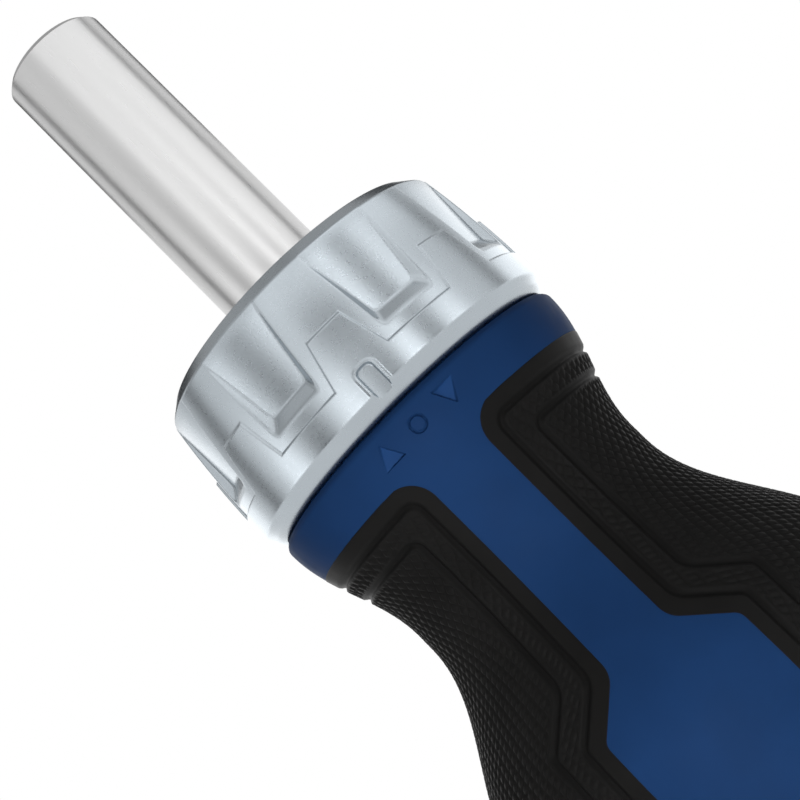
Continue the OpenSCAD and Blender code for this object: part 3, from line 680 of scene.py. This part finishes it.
def ring_mark(phi, z):
    """Depth of the ring pressed in between the triangles."""
    line = abs(np.hypot(phi * neck_r, z - mark_z) - ring_r)
    return ring_depth * smooth_step(ring_edge - line / ring_line)


def core_face(phi, z):
    """Radius of the core's outer face: outline, bevel of the neck, marks and seats of the grips."""
    bevel = neck_rim_r + neck_rim_slope * (core_z1 - neck_rim_drop - z)
    outline = smooth_min(core_r(z), bevel, neck_rim_blend)
    inside = grip_inset(abs(core_r(z) * np.sin(phi)), z)
    seat = grip_t * smooth_step((inside - seat_start) / seat_soft)
    return outline - seat - triangle_marks(phi, z, outline) - ring_mark(phi, z)


def core_angles():
    """Angles around the core, closest at the marks and near the edges of the grips."""
    half = np.radians(stations(core_turns, core_turn_pitches))
    return np.concatenate([half, -half[-2:0:-1]])


def make_core():
    """Core: screw chamber, bore, mouth, outer face, front face and the housing's pocket."""
    phi = core_angles()
    z = stations(
        [core_z0, core_z1 - neck_strip, core_z1 - neck_rim_drop],
        [core_pitch, neck_pitch],
    )[:, None]
    face = around(core_face(phi, z), phi, z)
    inner = [
        (axis_r, bulkhead_z),
        (chamber_r, bulkhead_z),
        (chamber_r, bore_z1),
        (bore_r, bore_z1),
        (bore_r, plug_z1),
        (mouth_r, plug_z1),
        (mouth_r, core_z0),
    ]
    washer_seat_r = skirt_r - neck_rim_drop / 2
    front = [
        (washer_seat_r, core_z1 - neck_rim_drop),
        (washer_seat_r, core_z1),
        (pocket_r, core_z1),
        (pocket_r, pocket_z),
        (axis_r, pocket_z),
    ]
    loops = np.concatenate([rings(inner, phi), face, rings(front, phi)])
    painted_light = np.zeros(loops.shape[:2])
    # painted highlight: the floors of the triangles get a paler base colour
    painted_light[len(inner) : len(inner) + len(z)] = mark_floors(phi, z)
    points, faces = skin(loops)
    piece("core_skin", points, faces, "handle", "handle_core", "blue_core", core_sharp, painted_light)


# selector collar


def from_flute(phi):
    """Angle from the middle of the nearest flute; the lands lie between, one of them in front."""
    return np.abs(np.mod(np.degrees(phi), flute_pitch) - flute_pitch / 2)


def crown(off, h):
    """Height of the proud band behind the crowned step line."""
    rise = (off - crown_a0) / (crown_a1 - crown_a0)
    line = crown_low + (crown_high - crown_low) * np.clip(rise, 0, 1)
    run = math.radians(crown_a1 - crown_a0) * collar_crest_r
    lean = math.hypot(1, (crown_high - crown_low) / run)
    on_slope = (rise > 0) & (rise < 1)
    distance = (line - h) / np.where(on_slope, lean, 1)
    return crown_step * smooth_step(0.5 + distance / crown_soft)


def flute(off, h, barrel):
    """Depth of a flute: sloped sides and rear wall down to a floor of one radius."""
    widen = (h - flute_rear) / (flute_front - flute_rear)
    half = flute_rear_a + (flute_front_a - flute_rear_a) * widen
    side = flute_side_slope * np.radians(half - off) * collar_crest_r
    rear = flute_rear_slope * (h - flute_rear)
    wall = smooth_min(side, rear, flute_corner)
    return -smooth_min(-smooth_min(wall, barrel - flute_floor_r, flute_blend), 0, flute_lip)


def notch(phi, h, face):
    """Face with the pointer's notch: a round-cornered slot with a raised lip."""
    x = np.abs(np.mod(phi + math.pi, 2 * math.pi) - math.pi) * collar_crest_r
    dx = x - notch_half + notch_corner
    dh = h - notch_len + notch_corner
    outside = np.hypot(np.maximum(dx, 0), np.maximum(dh, 0)) + np.minimum(np.maximum(dx, dh), 0)
    edge = outside - notch_corner
    lip = notch_lip * smooth_step(1 - np.abs(edge - notch_lip_w / 2) / notch_lip_w)
    slot = smooth_step(0.5 - edge / notch_soft)
    floor = np.minimum(face, notch_floor_r)
    return (face + lip) * (1 - slot) + floor * slot


def collar_face(phi, h):
    """Radius of the collar's face at a height: body, rear chamfer with its hem, and nose bevel."""
    off = from_flute(phi)
    barrel = collar_crest_r - ((h - collar_crest_z) / collar_fall_z) ** 2
    body = barrel + crown(off, h) - flute(off, h, barrel)
    hem = hem_r + hem_slope * (h + skirt_len)
    chamfer = smooth_min(collar_rear_r + rear_slope * h, hem, edge_blend)
    bevel = collar_nose_r + nose_slope * (collar_len - h)
    return smooth_min(smooth_min(notch(phi, h, body), chamfer, edge_blend), bevel, edge_blend)


def collar_angles():
    """Angles around the collar, closest at the sides of the flutes and at the notch."""
    half = stations(collar_turns, collar_turn_pitches)
    sector = np.concatenate([half, flute_pitch - half[-2:0:-1]])
    return np.radians(np.concatenate([sector + i * flute_pitch for i in range(flute_count)]))


def make_collar():
    """Collar: fluted face, front face with the shaft's hole, and the hollow over the ratchet."""
    phi = collar_angles()
    h = stations(collar_rows, collar_row_pitches)[:, None]
    face = around(collar_face(phi, h), phi, collar_z0 + h)
    roof = collar_z1 - collar_wall
    rest = [
        (collar_hole_r + hole_bevel, collar_z1),
        (collar_hole_r, collar_z1 - hole_bevel),
        (collar_hole_r, roof),
        (collar_bore_r, roof),
        (collar_bore_r, collar_z0),
        (skirt_r, collar_z0),
        (skirt_r, collar_z0 - skirt_len),
    ]
    points, faces = looped(np.concatenate([face, rings(rest, phi)]))
    piece("collar_skin", points, faces, "selector", "selector_collar", "collar_metal", collar_sharp)


# end cap


def make_end_cap():
    """End cap: rounded foot, finger groove, shoulder and the plug with its seal groove."""
    phi = np.linspace(0, 2 * math.pi, cap_cols, endpoint=False)
    turn = np.linspace(0, math.pi / 2, foot_rows)
    foot = [(foot_r + (tail_r - foot_r) * math.sin(t), foot_round * (1 - math.cos(t))) for t in turn]
    dip = np.linspace(-1, 1, pull_rows)
    pull_z = core_z0 - pull_w
    pull = [(tail_r - pull_depth * math.cos(math.pi * t / 2) ** 2, pull_z + t * pull_w / 2) for t in dip]
    shoulder_z = core_z0 - cap_gap
    plug_r = mouth_r - plug_gap
    seal_r = mouth_r - seal_d
    plug = [
        (tail_r, shoulder_z - cap_bevel),
        (tail_r - cap_bevel, shoulder_z),
        (plug_r, shoulder_z),
        (plug_r, seal_z - seal_d / 2),
        (seal_r, seal_z - seal_d / 2),
        (seal_r, seal_z + seal_d / 2),
        (plug_r, seal_z + seal_d / 2),
        (plug_r, plug_z1 - plug_bevel),
        (plug_r - plug_bevel, plug_z1),
        (boss_r, plug_z1),
        (boss_r, core_z0),
        (axis_r, core_z0),
    ]
    points, faces = skin(rings([(axis_r, cap_z0)] + foot + pull + plug, phi))
    piece("end_cap_skin", points, faces, "magazine", "end_cap", "black_cap", cap_sharp)


# springs


def make_springs():
    """Pawl springs, copied from the CAD nodes in the spring steel finish: the outer end stands in the
    housing.
    """
    for way in ("forward", "reverse"):
        node = f"{way}_spring"
        shape = put(f"{way}_coil", frame["nodes"][node].data.copy())
        shape.data.materials.clear()
        shape.data.materials.append(finishes["spring_steel"])
        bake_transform(shape)
        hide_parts(node)


# camera, floor and background
aim = Vector((0.0, 0.0, 101.861)) * MM
view_tilt = math.radians(8.54)
view_distance = 140.0
view_shift = 0.303
view_roll = math.radians(45)
view_focus = 72.77
view_clip = 10.0
sensor = 36.0
floor_w = 8000.0
floor_patch = 60.0
floor_colour = (0.86, 0.86, 0.86)
floor_spread = 0.01
floor_fade = (50.0, 170.0)
floor_white = (0.5, 1.0)
fill_strength = 0.12
ceiling_fade = (28, 46)
ceiling_grey = 0.5

# lamps and cards: distances from the aim and from the axis, elevations that many share, and paint
lamp_distance = 600.0
front_distance = 120.0
near_r = 60.0
card_low = -30
lamp_low = -25
lamp_high = 14
card_patch = 40.0
card_colour = (0.09, 0.09, 0.093)
card_spread = 0.05
dull_roughness = 0.9

# left and right azimuth, low and high elevation
dark_cards = {
    "right_card": (101, 111, card_low, 36),
    "left_card": (-110, -97, card_low, 36),
    "right_gap_card": (36, 52, card_low, 14),
    "left_gap_card": (-55, -36, card_low, 14),
    "middle_card": (8, 19, card_low, 13),
    "notch_card": (-1, 4, card_low, 10),
    "right_bevel_card": (147, 172, 22, 42),
    "left_bevel_card": (-172, -146, 22, 43),
}

# left and right azimuth, low and high Z
near_cards = {
    "land_card_1": (-8, 16, 120.5, 124),
    "land_card_2": (-8, 16, 126, 129.5),
}

# left and right azimuth, low and high elevation, radiance
stripe_lamps = {
    "left_middle": (-26, -9, lamp_low, lamp_high, 1.55),
    "left_front": (-35, -25, lamp_low, lamp_high, 0.4),
    "left_side": (-81, -63, lamp_low, lamp_high, 1.4),
    "right_front": (22, 35, lamp_low, lamp_high, 2.2),
    "right_side": (53, 70, lamp_low, lamp_high, 1.3),
}
rim_lamps = {
    "overhead": (-50, 50, 46, 54, 0.25),
    "high": (-60, 0, 64, 88, 0.25),
    "right_rim": (114, 170, lamp_low, lamp_high, 0.85),
    "left_rim": (-170, -126, lamp_low, lamp_high, 0.85),
}

# the same, whether for metal, and distance
dull_lamps = {
    "front": (-20, 9, -33, -3, 8.0, False, front_distance),
    "back": (150, 210, 16, 50, 3.0, False, lamp_distance),
}

# row of lamps close to the shaft: first azimuth, width of each, and heights
shaft_lamps = 5
shaft_lamp_a = -19
shaft_lamp_w = 23
shaft_lamp_z = (130, 190)
shaft_lamp_radiance = 0.45


def spot(azimuth, elevation, distance):
    """A place around the aim, by angles from the front to the right and up, and a distance."""
    a = math.radians(azimuth)
    e = math.radians(elevation)
    way = Vector((math.sin(a) * math.cos(e), -math.cos(a) * math.cos(e), math.sin(e)))
    return aim + distance * MM * way


def patch_width(angle, distance):
    """Width of a flat patch that fills an angle at a distance."""
    return 2 * distance * math.tan(math.radians(angle) / 2)


def facing(place, target):
    """Rotation of a lamp or card at a place, so that it faces a target."""
    return (target - place).to_track_quat("-Z", "Y").to_euler()


def hang(shape, left, right, low, high, distance):
    """Hangs a lamp or card between two azimuths and two elevations, facing the aim."""
    shape.location = spot((left + right) / 2, (low + high) / 2, distance)
    shape.rotation_euler = facing(shape.location, aim)


def stand(shape, left, right, low, high):
    """Stands a lamp or card upright close to the axis, between two azimuths and two heights."""
    a = math.radians((left + right) / 2)
    shape.location = Vector((near_r * math.sin(a), -near_r * math.cos(a), (low + high) / 2)) * MM
    shape.rotation_euler = facing(shape.location, Vector((0.0, 0.0, shape.location.z)))


def area_lamp(name, width, height, radiance):
    """Area lamp that the camera looks past, by its size and its own brightness."""
    lamp = bpy.data.lights.new(name, "AREA")
    lamp.shape = "RECTANGLE"
    lamp.size = width * MM
    lamp.size_y = height * MM
    lamp.energy = math.pi * width * height * MM**2 * radiance
    shape = put(name, lamp)
    shape.visible_camera = False
    return shape


def softbox(name, left, right, low, high, radiance, metal=True, distance=lamp_distance):
    """Area lamp between two azimuths and two elevations, seen from the aim: for metal, or for dull faces."""
    width = patch_width(right - left, distance)
    lamp = area_lamp(name, width, patch_width(high - low, distance), radiance)
    hang(lamp, left, right, low, high, distance)
    lamp.visible_diffuse = not metal
    lamp.visible_glossy = metal


def near_lamp(name, left, right, low, high, radiance):
    """Upright lamp close to the shaft, so high up that the collar's lands look past it."""
    lamp = area_lamp(name, patch_width(right - left, near_r), high - low, radiance)
    stand(lamp, left, right, low, high)
    lamp.visible_diffuse = False


def plate(name, width, height, material):
    """Flat rectangle for the stage."""
    mesh = bpy.data.meshes.new(name)
    x = width * MM / 2
    y = height * MM / 2
    mesh.from_pydata([(-x, -y, 0), (x, -y, 0), (x, y, 0), (-x, y, 0)], [], [(0, 1, 2, 3)])
    mesh.materials.append(material)
    shape = put(name, mesh)
    return shape


def make_card_paint():
    """Dull dark paint."""
    material, tree, surface = new_finish("card_paint", dull_roughness, 0.0, 0.0)
    shade(tree, surface, noise(tree, card_patch), card_colour, card_spread)
    return material


def card(name, width, height):
    """Dark card for reflections alone: the camera looks past it and it casts no shadow."""
    shape = plate(name, width, height, card_paint)
    shape.visible_camera = False
    shape.visible_shadow = False
    shape.visible_diffuse = False
    return shape


def dark_card(name, left, right, low, high):
    """Dark card that metal reflects as a stripe."""
    width = patch_width(right - left, lamp_distance)
    shape = card(name, width, patch_width(high - low, lamp_distance))
    hang(shape, left, right, low, high, lamp_distance)


def near_card(name, left, right, low, high):
    """Upright dark card close to the collar, which only the lands reflect."""
    shape = card(name, patch_width(right - left, near_r), high - low)
    stand(shape, left, right, low, high)


def make_lights():
    """Dark cards, the lamps that metal reflects, and two lamps for dull faces."""
    for name, place in dark_cards.items():
        dark_card(name, *place)
    for name, place in near_cards.items():
        near_card(name, *place)
    for name, values in stripe_lamps.items():
        softbox(name, *values)
    for i in range(shaft_lamps):
        left = shaft_lamp_a + i * shaft_lamp_w
        near_lamp(f"shaft_{i + 1}", left, left + shaft_lamp_w, *shaft_lamp_z, shaft_lamp_radiance)
    for name, values in rim_lamps.items():
        softbox(name, *values)
    for name, values in dull_lamps.items():
        softbox(name, *values)


def mix_white(tree, path, camera, dull, white, output):
    """Surface that glossy and transmitted rays see as white, and the camera by a share of its own."""
    glossy = combine(tree, "MAXIMUM", camera, path.outputs["Is Glossy Ray"])
    share = combine(tree, "MAXIMUM", glossy, path.outputs["Is Transmission Ray"])
    mix = tree.nodes.new("ShaderNodeMixShader")
    tree.links.new(share, mix.inputs["Fac"])
    tree.links.new(dull, mix.inputs[1])
    tree.links.new(white, mix.inputs[2])
    tree.links.new(mix.outputs["Shader"], tree.nodes[output].inputs["Surface"])


def make_floor():
    """Pale floor that keeps the shadow and turns to the white of the background with distance."""
    material, tree, surface = new_finish("floor", dull_roughness, 0.0, 0.0)
    shade(tree, surface, noise(tree, floor_patch), floor_colour, floor_spread)
    white = tree.nodes.new("ShaderNodeEmission")
    place = tree.nodes.new("ShaderNodeTexCoord")
    path = tree.nodes.new("ShaderNodeLightPath")
    far = length(tree, place.outputs["Object"])
    fade = map_range(tree, far, [d * MM for d in floor_fade], floor_white, "SMOOTHSTEP")
    camera = combine(tree, "MULTIPLY", fade, path.outputs["Is Camera Ray"])
    mix_white(tree, path, camera, surface.outputs["BSDF"], white.outputs["Emission"], "Material Output")
    plate("floor", floor_w, floor_w, material)


def make_world():
    """White background for the camera and for reflections, greyer overhead, and a softer fill light."""
    world = bpy.data.worlds.new("studio")
    bpy.context.scene.world = world
    world.use_nodes = True
    tree = world.node_tree
    fill = tree.nodes["Background"]
    fill.inputs["Color"].default_value = (1.0, 1.0, 1.0, 1.0)
    fill.inputs["Strength"].default_value = fill_strength
    backdrop = tree.nodes.new("ShaderNodeBackground")
    path = tree.nodes.new("ShaderNodeLightPath")
    camera = path.outputs["Is Camera Ray"]
    mix_white(tree, path, camera, fill.outputs["Background"], backdrop.outputs["Background"], "World Output")
    shade_ceiling(tree, camera, backdrop)


def shade_ceiling(tree, camera, backdrop):
    """Reflections see a grey ceiling over the white room; the camera sees white all around."""
    place = tree.nodes.new("ShaderNodeTexCoord")
    axes = tree.nodes.new("ShaderNodeSeparateXYZ")
    ramp = tree.nodes.new("ShaderNodeValToRGB")
    ramp.color_ramp.elements[0].color = (1.0, 1.0, 1.0, 1.0)
    ramp.color_ramp.elements[1].color = (ceiling_grey, ceiling_grey, ceiling_grey, 1.0)
    tree.links.new(place.outputs["Generated"], axes.inputs["Vector"])
    rise = [math.sin(math.radians(a)) for a in ceiling_fade]
    height = map_range(tree, axes.outputs["Z"], rise, (0.0, 1.0), "SMOOTHSTEP")
    overhead = combine(tree, "SUBTRACT", height, camera, clamp=True)
    tree.links.new(overhead, ramp.inputs["Fac"])
    tree.links.new(ramp.outputs["Color"], backdrop.inputs["Color"])


def make_camera():
    """Camera a little below the collar, rolled so that the tool lies across the picture's diagonal."""
    back = Vector((0.0, -math.cos(view_tilt), -math.sin(view_tilt)))
    across = Vector((1.0, 0.0, 0.0))
    above = across.cross(back) * -1
    right = across * math.sin(view_roll) - above * math.cos(view_roll)
    up = across * math.cos(view_roll) + above * math.sin(view_roll)
    camera = bpy.data.cameras.new("camera")
    camera.lens = view_focus
    camera.sensor_width = sensor
    camera.clip_start = view_clip * MM
    shape = put("camera", camera)
    turn = Matrix((right, up, back)).transposed().to_4x4()
    place = aim + (back * view_distance + across * view_shift) * MM
    shape.matrix_world = Matrix.Translation(place) @ turn
    bpy.context.scene.camera = shape


dress_solids()
make_grips()
make_core()
make_collar()
make_end_cap()
make_springs()
make_floor()
make_world()
card_paint = make_card_paint()
make_lights()
make_camera()
bpy.context.scene.view_settings.view_transform = "Standard"
